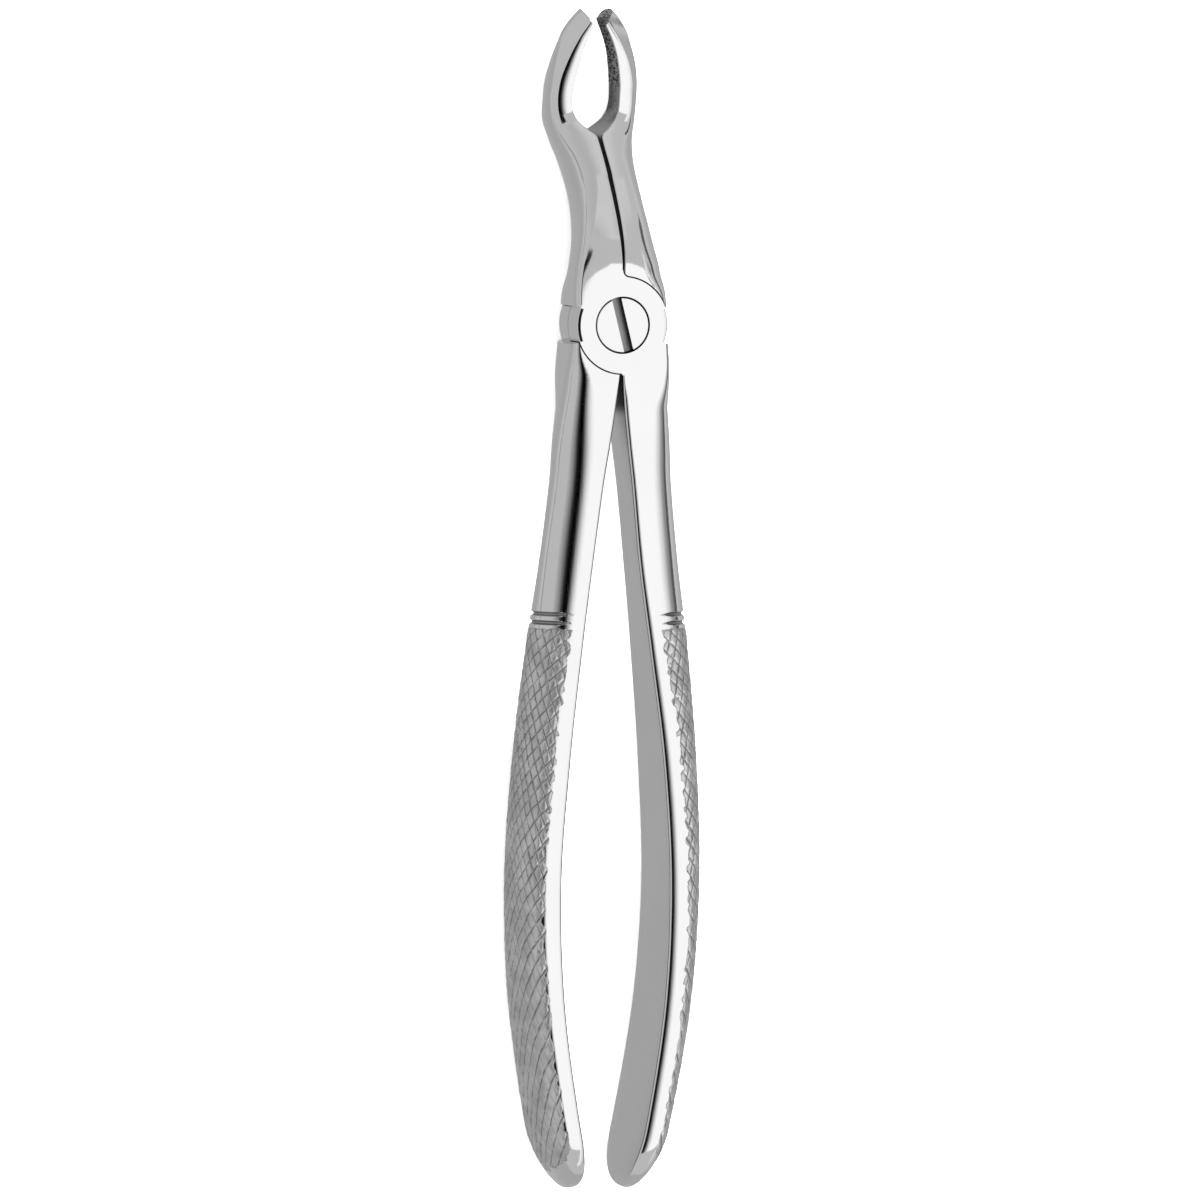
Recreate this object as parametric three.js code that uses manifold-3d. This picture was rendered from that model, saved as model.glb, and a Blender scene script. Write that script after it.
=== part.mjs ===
// Extraction forceps for upper molars, English pattern: two forged steel halves that lap over each
// other at a screw joint. Millimetres, +Z up. X runs across the instrument, Y along it towards the
// beaks, and Z is the pivot axis. The origin is the centre of the joint's back face.
//
// Both halves share one neck and beak shape and one handle shape. The front half takes the neck on
// the left and the handle on the right, and the back half the other way round. Heights in the tables
// are measured from the joint's middle plane, and each mesh is raised by half the joint's thickness.

import * as THREE from 'three';
import { mergeVertices } from 'three/addons/utils/BufferGeometryUtils.js';
import Module from 'manifold-3d';

const wasm = await Module();
wasm.setup();

// Lap joint
const JOINT_THICKNESS = 8.7;
const JOINT_HALF = JOINT_THICKNESS / 2;
const PARTING_GAP = 0.24;
const DISC_RADIUS = 7.1;
const SHOULDER_RADIUS = 7.4;
const SHOULDER_ANGLE = THREE.MathUtils.degToRad(21);
const SEAM_HALF_GAP = 0.26;
const BEYOND = 20;

// Pivot screw
const HEAD_RADIUS = 4.15;
const HEAD_THICKNESS = 2.2;
const HEAD_CHAMFER = 0.2;
const COUNTERBORE_RADIUS = 4.3;
const COUNTERBORE_DEPTH = 2.4;
const SHANK_RADIUS = 3;
const SHANK_BORE_RADIUS = 3.15;
const SLOT_WIDTH = 1.3;
const SLOT_DEPTH = 1.2;
const SLOT_TURN = THREE.MathUtils.degToRad(15);

// Necks and handles start this far past the pivot, inside the discs
const START_OVERLAP = 0.6;

// Necks and beaks: distance from the pivot, outer half width, front height, back height
const NECK_STATIONS = [
  [-1, 7.1, 4.35, -4.35],
  [5, 7.2, 4.35, -4.35],
  [9, 6.5, 4.3, -4.4],
  [12, 5.95, 3.75, -5.6],
  [15, 5.45, 2.05, -7.2],
  [18, 5.15, -0.15, -9.4],
  [21, 5.05, -2.5, -12.2],
  [24, 5.3, -4.85, -15.2],
  [27, 6.05, -7.5, -17.2],
  [30, 6.9, -9.8, -17.1],
  [33, 7.15, -10.15, -15.8],
  [36, 7.05, -9.6, -14.8],
  [39, 6.5, -9.0, -13.8],
  [42, 5.65, -8.8, -13.1],
  [45, 4.1, -9.1, -12.7],
  [47, 3.5, -9.3, -12.6],
];
// Inner edge of the same half: distance from the pivot, distance from the middle plane
const INNER_EDGE = [
  [-1, 0.26],
  [26.6, 0.26],
  [28.2, 1.35],
  [29.8, 3.0],
  [32, 3.7],
  [35, 3.65],
  [39, 2.7],
  [44.5, 1.06],
  [47, 1.3],
];
const TIP_Y = 46.9;
const TIP_LENGTH = 3;
const TIP_END_FRACTION = 0.3;
const TIP_WIDTH_KEPT = 0.6;
const GOUGE_DEPTH = 1.1;
const GOUGE_START_Y = 28;
const GOUGE_FULL_Y = 32;
const NECK_FULLNESS = 3;

// Handles: distance below the pivot, inner edge, outer side, half depth
const HANDLE_STATIONS = [
  [-1, 0.26, 7.0, 4.35],
  [5, 0.26, 7.6, 4.35],
  [12, 0.66, 8.45, 4.3],
  [24, 2.2, 9.45, 4.0],
  [36, 3.6, 10.9, 3.95],
  [48, 5.2, 12.55, 4.8],
  [66, 7.4, 14.2, 6.35],
  [84, 8.6, 14.85, 6.95],
  [102, 7.95, 13.7, 7.65],
  [120, 5.35, 10.55, 8.15],
  [131, 2.9, 7.6, 8.2],
];
const HANDLE_LENGTH = 130.4;
const HANDLE_END_LENGTH = 9;
const HANDLE_END_FRACTION = 0.28;
const HANDLE_INNER_ROUNDING = 0.12;
const HANDLE_OUTER_ROUNDING = 0.42;
const HANDLE_FULLNESS = 2.3;
const GROOVE_STATIONS = [43.7, 45.0];
const GROOVE_HALF_WIDTH = 0.4;
const GROOVE_DEPTH = 0.35;
const GROOVE_FLOOR_SHARE = 0.49;
const GROOVE_CLEARANCE = 1;

// The section is squarer where it meets the joint's flat faces
const JOINT_FULLNESS = 7;
const FULLNESS_FADE_START = 7;
const FULLNESS_FADE_END = 16;

// Numbers of facets
const ROUND_STEPS = 48;
const RELIEF_STEPS = 12;
const OUTER_STEPS = 12;
const INNER_STEPS = 4;
const NECK_STEPS = 26;
const TIP_STEPS = 4;
const HANDLE_STEPS = 28;
const HANDLE_END_STEPS = 5;

const MERGE_TOLERANCE = 1e-5;
const POLISHED_ROUGHNESS = 0.22;
const SCREW_ROUGHNESS = 0.3;

const steel = (roughness) => new THREE.MeshStandardMaterial({ color: 0xc9cccf, metalness: 1, roughness });

// A smooth value between table rows [position, value, value, ...], as a Hermite curve whose slope at
// each row comes from its neighbours.
function rowAt(rows, position) {
  const last = rows.length - 2;
  const next = rows.findIndex((row) => row[0] > position);
  const i = next < 0 ? last : Math.max(0, Math.min(last, next - 1));
  const row = (k) => rows[Math.max(0, Math.min(rows.length - 1, k))];
  const span = row(i + 1)[0] - row(i)[0];
  const t = THREE.MathUtils.clamp((position - row(i)[0]) / span, 0, 1);
  const slope = (k, j) => (row(k + 1)[j] - row(k - 1)[j]) / (row(k + 1)[0] - row(k - 1)[0]);
  return row(i).map((value, j) => {
    const end = row(i + 1)[j];
    const cubic = 2 * (value - end) + span * (slope(i, j) + slope(i + 1, j));
    const square = 3 * (end - value) - span * (2 * slope(i, j) + slope(i + 1, j));
    return value + t * (span * slope(i, j) + t * (square + t * cubic));
  });
}

// Superellipse exponent at a distance from the pivot
function fullnessAt(distance, fullness) {
  const fade = THREE.MathUtils.smoothstep(distance, FULLNESS_FADE_START, FULLNESS_FADE_END);
  return THREE.MathUtils.lerp(JOINT_FULLNESS, fullness, fade);
}

// One closed D-shaped ring across Y: a superelliptic outer side, and an inner side that is flat, or
// hollowed by a gouge.
function dRing({ y, inner, outer, middle, halfDepth, fullness, gouge, outerCut }) {
  const ring = [];
  for (let k = 0; k <= OUTER_STEPS; k += 1) {
    const angle = Math.PI * (k / OUTER_STEPS - 0.5);
    const across = Math.abs(Math.cos(angle)) ** (2 / fullness);
    const along = Math.sign(angle) * Math.abs(Math.sin(angle)) ** (2 / fullness);
    const reach = outer - inner - outerCut * Math.cos(angle);
    ring.push(new THREE.Vector3(inner + reach * across, y, middle + halfDepth * along));
  }
  for (let k = 1; k < INNER_STEPS; k += 1) {
    const along = 1 - (2 * k) / INNER_STEPS;
    const hollow = gouge * (1 - along * along);
    ring.push(new THREE.Vector3(inner + hollow, y, middle + halfDepth * along));
  }
  return ring;
}

// Right-hand neck and beak section at a distance up from the pivot; end shrinks it towards the tip
function neckRing(y, end) {
  const [, halfWidth, front, back] = rowAt(NECK_STATIONS, y);
  const inner = Math.max(SEAM_HALF_GAP, rowAt(INNER_EDGE, y)[1]);
  const centre = (inner + halfWidth) / 2;
  const halfThickness = ((halfWidth - inner) / 2) * THREE.MathUtils.lerp(TIP_WIDTH_KEPT, 1, end);
  return dRing({
    y,
    inner: centre - halfThickness,
    outer: centre + halfThickness,
    middle: (front + back) / 2,
    halfDepth: ((front - back) / 2) * end,
    fullness: fullnessAt(y, NECK_FULLNESS),
    gouge: GOUGE_DEPTH * THREE.MathUtils.smoothstep(y, GOUGE_START_Y, GOUGE_FULL_Y) * end,
    outerCut: 0,
  });
}

// Right-hand handle section at a distance down from the pivot; end shrinks it towards the end
function handleRing(distance, end) {
  const [, edge, outer, halfDepth] = rowAt(HANDLE_STATIONS, distance);
  const inner = Math.max(SEAM_HALF_GAP, edge);
  const fromGroove = Math.min(...GROOVE_STATIONS.map((groove) => Math.abs(distance - groove)));
  const lost = (outer - inner) * (1 - end);
  return dRing({
    y: -distance,
    inner: inner + HANDLE_INNER_ROUNDING * lost,
    outer: outer - HANDLE_OUTER_ROUNDING * lost,
    middle: 0,
    halfDepth: halfDepth * end,
    fullness: fullnessAt(distance, HANDLE_FULLNESS),
    gouge: 0,
    outerCut: fromGroove < GROOVE_HALF_WIDTH / 2 ? GROOVE_DEPTH : 0,
  });
}

// Rings joined into one closed body with flat ends. The rings run anticlockwise seen against the
// direction of travel.
function loft(rings) {
  const count = rings[0].length;
  const positions = rings.flat().flatMap((point) => point.toArray());
  const faces = [];
  for (let r = 0; r + 1 < rings.length; r += 1) {
    for (let k = 0; k < count; k += 1) {
      const a = r * count + k;
      const b = r * count + ((k + 1) % count);
      faces.push(a, b, b + count, a, b + count, a + count);
    }
  }
  const capOutline = rings[0].map((point) => new THREE.Vector2(point.x, point.z));
  const capFaces = THREE.ShapeUtils.triangulateShape(capOutline, []);
  const lastOutline = rings.at(-1).map((point) => new THREE.Vector2(point.x, point.z));
  const lastFaces = THREE.ShapeUtils.triangulateShape(lastOutline, []);
  const lastRing = (rings.length - 1) * count;
  capFaces.forEach(([a, b, c]) => faces.push(a, c, b));
  lastFaces.forEach(([a, b, c]) => faces.push(lastRing + a, lastRing + b, lastRing + c));
  const geometry = new THREE.BufferGeometry();
  geometry.setAttribute('position', new THREE.Float32BufferAttribute(positions, 3));
  geometry.setIndex(faces);
  return geometry;
}

function solid(geometry) {
  const bare = geometry.clone();
  bare.deleteAttribute('normal');
  bare.deleteAttribute('uv');
  const merged = mergeVertices(bare, MERGE_TOLERANCE);
  return new wasm.Manifold(new wasm.Mesh({
    numProp: 3,
    vertProperties: new Float32Array(merged.attributes.position.array),
    triVerts: new Uint32Array(merged.index.array),
  }));
}

function geometryOf(body) {
  const { vertProperties, triVerts } = body.getMesh();
  const geometry = new THREE.BufferGeometry();
  geometry.setAttribute('position', new THREE.BufferAttribute(vertProperties, 3));
  geometry.setIndex(new THREE.BufferAttribute(triVerts, 1));
  geometry.computeVertexNormals();
  return geometry;
}

// Evenly spaced positions from start to end, both included
function spaced(start, end, steps) {
  return Array.from({ length: steps + 1 }, (_, k) => THREE.MathUtils.lerp(start, end, k / steps));
}

// Positions and shrink factors for an elliptic end that starts at start and finishes at finish
function roundedEnd(start, finish, fraction, steps) {
  const lastAngle = Math.acos(fraction);
  return spaced(0, lastAngle, steps).map((angle) => ({
    place: start + ((finish - start) * Math.sin(angle)) / Math.sin(lastAngle),
    end: Math.cos(angle),
  }));
}

function neckSolid() {
  const body = spaced(-START_OVERLAP, TIP_Y - TIP_LENGTH, NECK_STEPS).map((y) => neckRing(y, 1));
  const tip = roundedEnd(TIP_Y - TIP_LENGTH, TIP_Y, TIP_END_FRACTION, TIP_STEPS).slice(1);
  return solid(loft([...body, ...tip.map(({ place, end }) => neckRing(place, end))].reverse()));
}

function handleSolid() {
  const start = HANDLE_LENGTH - HANDLE_END_LENGTH;
  const grooves = GROOVE_STATIONS.flatMap((groove) => [-1, -GROOVE_FLOOR_SHARE, GROOVE_FLOOR_SHARE, 1].map(
    (side) => groove + side * GROOVE_HALF_WIDTH,
  ));
  const plain = spaced(-START_OVERLAP, start, HANDLE_STEPS).filter(
    (place) => grooves.every((groove) => Math.abs(groove - place) > GROOVE_CLEARANCE),
  );
  const body = [...plain, ...grooves].sort((a, b) => a - b).map((place) => handleRing(place, 1));
  const end = roundedEnd(start, HANDLE_LENGTH, HANDLE_END_FRACTION, HANDLE_END_STEPS).slice(1);
  return solid(loft([...body, ...end.map((step) => handleRing(step.place, step.end))]));
}

// A round bar about the pivot axis between two heights
function bar(radius, low, high) {
  const geometry = new THREE.CylinderGeometry(radius, radius, high - low, ROUND_STEPS);
  geometry.rotateX(Math.PI / 2);
  geometry.translate(0, 0, (low + high) / 2);
  return solid(geometry);
}

// The wedges on both sides of the joint, outside the discs, that leave room for the halves to turn
function sideRelief() {
  const wedge = new THREE.Shape();
  wedge.absarc(0, 0, DISC_RADIUS, -SHOULDER_ANGLE, SHOULDER_ANGLE, false);
  wedge.absarc(0, 0, BEYOND, SHOULDER_ANGLE, -SHOULDER_ANGLE, true);
  const options = { depth: 2 * BEYOND, bevelEnabled: false, curveSegments: RELIEF_STEPS };
  const right = new THREE.ExtrudeGeometry(wedge, options).translate(0, 0, -BEYOND);
  return solid(right).add(solid(right.clone().rotateZ(Math.PI)));
}

const neck = neckSolid();
const handle = handleSolid();
const relief = sideRelief();

// One half: layer is +1 for the front half, whose disc is in front, and -1 for the back half
function halfSolid(layer) {
  const mirror = [1, 0, 0];
  const ownNeck = layer > 0 ? neck.mirror(mirror) : neck;
  const ownHandle = layer > 0 ? handle : handle.mirror(mirror);
  const parting = (layer * PARTING_GAP) / 2;
  const face = layer * JOINT_HALF;
  const disc = bar(DISC_RADIUS, Math.min(parting, face), Math.max(parting, face));
  const otherSide = -layer * BEYOND;
  const pocket = bar(SHOULDER_RADIUS, Math.min(parting, otherSide), Math.max(parting, otherSide));
  return ownNeck.add(ownHandle).subtract(relief).subtract(pocket).add(disc);
}

function frontHalf() {
  const bore = bar(SHANK_BORE_RADIUS, -BEYOND, BEYOND);
  const counterbore = bar(COUNTERBORE_RADIUS, JOINT_HALF - COUNTERBORE_DEPTH, BEYOND);
  return halfSolid(1).subtract(bore).subtract(counterbore);
}

function backHalf() {
  return halfSolid(-1).subtract(bar(SHANK_BORE_RADIUS, -BEYOND, BEYOND));
}

// The screw's profile turned about the pivot axis, with a slot across its head
function pivotScrew() {
  const profile = [
    [0, -JOINT_HALF],
    [SHANK_RADIUS, -JOINT_HALF],
    [SHANK_RADIUS, JOINT_HALF - HEAD_THICKNESS],
    [HEAD_RADIUS, JOINT_HALF - HEAD_THICKNESS],
    [HEAD_RADIUS, JOINT_HALF - HEAD_CHAMFER],
    [HEAD_RADIUS - HEAD_CHAMFER, JOINT_HALF],
    [0, JOINT_HALF],
  ].map(([radius, height]) => new THREE.Vector2(radius, height));
  const turned = new THREE.LatheGeometry(profile, ROUND_STEPS).rotateX(Math.PI / 2);
  const slot = new THREE.BoxGeometry(SLOT_WIDTH, BEYOND, 2 * SLOT_DEPTH);
  slot.rotateZ(SLOT_TURN).translate(0, 0, JOINT_HALF);
  return solid(turned).subtract(solid(slot));
}

function piece(name, body, roughness) {
  const mesh = new THREE.Mesh(geometryOf(body), steel(roughness));
  mesh.name = name;
  mesh.position.z = JOINT_HALF;
  return mesh;
}

const forceps = new THREE.Group();
forceps.add(piece('front_half', frontHalf(), POLISHED_ROUGHNESS));
forceps.add(piece('back_half', backHalf(), POLISHED_ROUGHNESS));
forceps.add(piece('pivot_screw', pivotScrew(), SCREW_ROUGHNESS));

export default forceps;
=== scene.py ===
# Looks of the extraction forceps: two polished steel halves with knurled handles and a slotted
# pivot screw. The tables and sections below are in millimetres, with heights from the middle plane
# of the joint; meshes are made in metres in the CAD frame.

import math

import bmesh
import bpy
import numpy as np
from mathutils import Matrix, Vector


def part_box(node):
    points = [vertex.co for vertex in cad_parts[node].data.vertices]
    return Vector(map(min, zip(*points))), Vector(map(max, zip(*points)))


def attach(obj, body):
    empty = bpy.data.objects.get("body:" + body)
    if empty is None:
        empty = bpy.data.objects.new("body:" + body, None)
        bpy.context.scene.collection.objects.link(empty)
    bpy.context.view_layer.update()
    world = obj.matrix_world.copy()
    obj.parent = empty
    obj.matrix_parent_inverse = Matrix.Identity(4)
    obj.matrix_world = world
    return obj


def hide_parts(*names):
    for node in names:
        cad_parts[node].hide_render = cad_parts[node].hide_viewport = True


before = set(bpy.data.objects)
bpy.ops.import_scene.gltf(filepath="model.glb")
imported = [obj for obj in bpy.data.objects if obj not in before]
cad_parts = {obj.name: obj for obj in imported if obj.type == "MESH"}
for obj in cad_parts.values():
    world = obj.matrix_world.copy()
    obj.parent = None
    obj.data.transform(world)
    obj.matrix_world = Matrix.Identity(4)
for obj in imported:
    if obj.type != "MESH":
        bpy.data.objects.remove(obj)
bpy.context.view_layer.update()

MM = 0.001
TINY = 1e-6

# Joint
JOINT_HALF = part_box("pivot_screw")[1].z / MM / 2
JOINT_PLANE = JOINT_HALF
PARTING_GAP = 0.1
DISC_RADIUS = 7.25
SHOULDER_RADIUS = 7.48
SHOULDER_ANGLE = math.radians(21)
SEAM_HALF_GAP = 0.13
SEAM_FILLET = 1.1
FOOT_FILLET = 0.3
CORNER_SHARE = 0.75
CORNER_INSET = 0.5
RIM_ROUNDING = 0.28
RIM_BEVEL_WIDTH = 0.4
RIM_BEVEL_ANGLE = math.radians(17.5)
FLAT_STRETCH = 1.35
RIM_ANGLE = math.radians(20.9)
RIM_CLEARANCE = 0.4
RIM_RINGS = 33
RIM_PROFILE_STEPS = 5
WEDGE_START_RADIUS = 0.9 * DISC_RADIUS
WEDGE_STEPS = 24
BEYOND = 24
ROUND_STEPS = 160
FILLET_STEPS = 10
FLAT_BULGE = 0.06

# Pivot screw
HEAD_RADIUS = 4.15
HEAD_THICKNESS = 2.2
HEAD_CHAMFER = 0.12
COUNTERBORE_RADIUS = 4.33
COUNTERBORE_DEPTH = 2.4
SHANK_RADIUS = 3.0
SHANK_BORE_RADIUS = 3.12
TAIL_CHAMFER = 0.3
SLOT_WIDTH = 1.5
SLOT_DEPTH = 1.2
SLOT_TURN = math.radians(15)

# Necks and beaks: distance from the pivot, outer half width, front height, back height
NECK_STATIONS = [
    (-1, 7.2, 4.35, -4.35),
    (5, 7.45, 4.35, -4.35),
    (9, 6.95, 4.35, -4.4),
    (12, 6.25, 3.72, -5.5),
    (15, 5.72, 2.25, -7.2),
    (18, 5.35, 0.3, -9.4),
    (21, 5.25, -1.9, -12.1),
    (24, 5.4, -4.4, -15.1),
    (27, 6.05, -7.2, -17.2),
    (30, 6.9, -9.7, -17.1),
    (33, 7.15, -10.15, -16.0),
    (36, 7.05, -9.6, -15.6),
    (39, 6.55, -9.0, -14.8),
    (42, 5.65, -8.85, -14.0),
    (44, 4.9, -8.82, -13.5),
    (46, 3.5, -8.85, -13.0),
    (48, 1.5, -8.9, -12.6),
]
# Inner edge against distance: the seam between the necks, the crotch, and the beak's inner side
INNER_EDGE = [
    (-1, 0.13),
    (8, 0.13),
    (13, 0.25),
    (22, 0.33),
    (27.9, 0.36),
    (28.4, 0.7),
    (28.8, 1.35),
    (29.4, 2.1),
    (30.4, 3.0),
    (32, 3.62),
    (35, 3.68),
    (37, 3.42),
    (39, 3.02),
    (40.7, 2.6),
    (42.5, 1.95),
    (44.5, 0.98),
    (48, -0.8),
]
# Sections are superellipses, and fullness is their exponent
CAD_NECK_FULLNESS = 3.0
NECK_FULLNESS = 2.5
FRONT_FULLNESS = [(-1, 2.5), (36, 2.5), (39, 2.25), (41, 2.0), (43, 1.7), (45, 1.4), (48, 1.3)]
# Where the crest between a beak's front and its outer facet runs, as a share of the width
RIM_SHARE = [
    (-1, 0.5),
    (30, 0.6),
    (36, 0.61),
    (39, 0.52),
    (41, 0.42),
    (43, 0.31),
    (45, 0.2),
    (48, 0.12),
]
BLANK_END_Y = 47.8
# The tip is cut by a plane through its front inner corner, rising along X and falling along Z
TIP_CORNER = (0.76, 44.6, -9.0)
TIP_RISE = (1.0, -0.39)
TIP_CUT_HEIGHT = 12
TIP_CUT_X = (-4, 12)
TIP_CUT_Z = (-20, 0)
GOUGE_DEPTH = 1.1
GOUGE_START_Y = 28
GOUGE_FULL_Y = 32
FACET_SLOPE = 0.93
FACET_REACH = 0.85
FACET_RUN_OUT = 1.2
CREST_SLOPE = 0.38
NECK_ROUND_Y = (10, 20)
BACK_LIFT = 0.9
FACET_START_Y = 28.5
FACET_FULL_Y = 31

# Handles: distance below the pivot, inner edge, outer side, half depth
HANDLE_STATIONS = [
    (-1, 0.13, 7.5, 4.35),
    (5, 0.13, 7.9, 4.35),
    (12, 0.6, 8.65, 4.3),
    (18, 1.35, 9.2, 4.15),
    (24, 2.2, 9.55, 4.0),
    (36, 3.6, 10.9, 3.95),
    (48, 5.2, 12.5, 4.8),
    (66, 7.4, 14.1, 6.35),
    (84, 8.6, 14.75, 6.95),
    (102, 7.95, 13.6, 7.65),
    (120, 5.35, 10.5, 8.15),
    (131, 2.9, 7.6, 8.2),
]
# Distance and width of the part of the front that falls towards the inner edge
CROWN_WIDTHS = [(-1, 0.5), (20, 0.6), (40, 0.9), (55, 1.3), (80, 1.7), (131, 1.7)]
CROWN_ANGLE = math.radians(19)
CROWN_STEPS = 6
CAD_HANDLE_FULLNESS = 2.3
HANDLE_FULLNESS = [
    (-1, 3.6),
    (8, 3.2),
    (14, 2.55),
    (19, 2.15),
    (27, 1.95),
    (36, 1.85),
    (46, 1.9),
    (60, 2.2),
    (131, 2.3),
]
HANDLE_RIM_SHARE = 0.35
HANDLE_DEPTH_START = (9, 14)
CROWN_START = (8, 11)
HANDLE_LENGTH = 130.75
HANDLE_END_START = HANDLE_LENGTH - 9
HANDLE_END_FRACTION = 0.1
HANDLE_END_STEPS = 36
HANDLE_INNER_ROUNDING = 0.38
HANDLE_OUTER_ROUNDING = 0.6
EDGE_ROUNDING = 0.5
JOINT_EDGE_ROUNDING = 0.12
EDGE_SHARE_OF_DEPTH = 0.4
NECK_EDGE = 0.16

# The section is squarer where it meets the joint's flat faces, and loses that with the distance
# from the pivot: over one span on the side that carries the disc, sooner on the other side
JOINT_FULLNESS = 8
NECK_FADE = (7, 22)
HANDLE_FADE = (5, 13)
FREE_FADE = (1, 8)

# Turned grooves and knurling on the handles
GROOVE_STATIONS = (43.7, 45.0)
GROOVE_HALF_WIDTH = 0.36
GROOVE_DEPTH = 0.38
GROOVE_SHADOW = 0.26
GROOVE_EDGE_ANGLE = math.radians(80)
GROOVE_POINT_ANGLE = math.radians(22)
KNURL_START = 45.9
KNURL_END = 125.5
KNURL_EDGE_ANGLE = math.radians(81)
KNURL_PROUD = 0.05
KNURL_DEPTH = 0.17
KNURL_RISE = 0.6
KNURL_RAGGED = 0.28
RAGGED_SCALE = 3
TOP_RAGGED_SHARE = 0.15
KNURL_POINT = 3.0
HANDLE_TURN_RADIUS = 5.5
STRENGTH = 0.85
STRENGTH_SPREAD = 0.3
STRENGTH_SCALE = 14
KNURL_GRIT = 0.02
GRIT_SCALE = 1.7
WOBBLE = 0.05
WOBBLE_SCALE = 9
# Spacing along the arc and down the handle of the two sets of knurling grooves, and their widths
RISING_SPACING = (2.1, 2.1)
RISING_STRETCH = 0.008
FALLING_SPACING = (1.35, 3.3)
RISING_WIDTH = 0.36
FALLING_WIDTH = 0.34
# The falling set is worn away between these distances below the knurling's start
WORN_SHARE = 0.65
WORN_SPAN = (20, 60)

# View direction from the forceps to the camera, for keeping the CAD outline
VIEW_TURN = math.radians(19.3)
VIEW_TILT = math.radians(3.6)


def row_at(rows, position):
    """A smooth value between table rows, as a Hermite curve with slopes from the neighbours."""
    places = [row[0] for row in rows]
    i = int(np.clip(np.searchsorted(places, position, side="right") - 1, 0, len(rows) - 2))
    row = lambda k: np.array(rows[max(0, min(len(rows) - 1, k))], float)
    span = places[i + 1] - places[i]
    t = min(1, max(0, (position - places[i]) / span))

    def slope(k):
        before, after = row(k - 1), row(k + 1)
        return (after - before) / (after[0] - before[0])

    start, end = row(i), row(i + 1)
    out, into = slope(i), slope(i + 1)
    cubic = 2 * (start - end) + span * (out + into)
    square = 3 * (end - start) - span * (2 * out + into)
    return start + t * (span * out + t * (square + t * cubic))


def smoothstep(low, high, value):
    """0 below low, 1 above high, and a smooth rise between them."""
    t = np.clip((value - low) / (high - low), 0, 1)
    return t * t * (3 - 2 * t)


def support(reach, depth, fullness):
    """How far a superellipse reaches along the view's sideways axis."""
    m = fullness / (fullness - 1)
    across = (math.cos(VIEW_TURN) * reach) ** m
    along = (math.sin(VIEW_TURN) * depth) ** m
    return (across + along) ** (1 / m)


def section_fades(distance, span, disc_in_front):
    """How far the front and the back have left the boxy joint, each from 0 to 1."""
    disc_side = float(smoothstep(*span, distance))
    free_side = float(smoothstep(*FREE_FADE, distance))
    return (disc_side, free_side) if disc_in_front else (free_side, disc_side)


EDGE_STEPS = 7
RIM_STEPS = 14
OUTER_STEPS = 84
INNER_STEPS = 12
CREASE_ANGLE = 0.012


def outer_angles(rim_share, fullness):
    """Superellipse angles from the front inner edge, over the rim, round to the back inner edge."""
    rim_angle = math.acos(rim_share ** (fullness / 2))
    rim = np.linspace(math.pi / 2, rim_angle, RIM_STEPS + 1)[:-1]
    crease = rim_angle + min(CREASE_ANGLE, 0.5 * (rim[-1] - rim_angle))
    rest = np.linspace(rim_angle, -math.pi / 2, OUTER_STEPS + 1)
    return np.concatenate([rim, [crease], rest])


def edge_arc(corner_x, corner_z, radius, front, tilt=0):
    """The rounded inner edge at the front (from the inner face) or the back (to the inner face)."""
    angles = np.linspace(math.pi, math.pi / 2 + tilt, EDGE_STEPS + 1)[:-1]
    if not front:
        angles = -angles[::-1]
    sign = 1 if front else -1
    x = corner_x + radius + radius * np.cos(angles)
    z = corner_z - sign * radius + radius * np.sin(angles)
    return x, z


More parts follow.
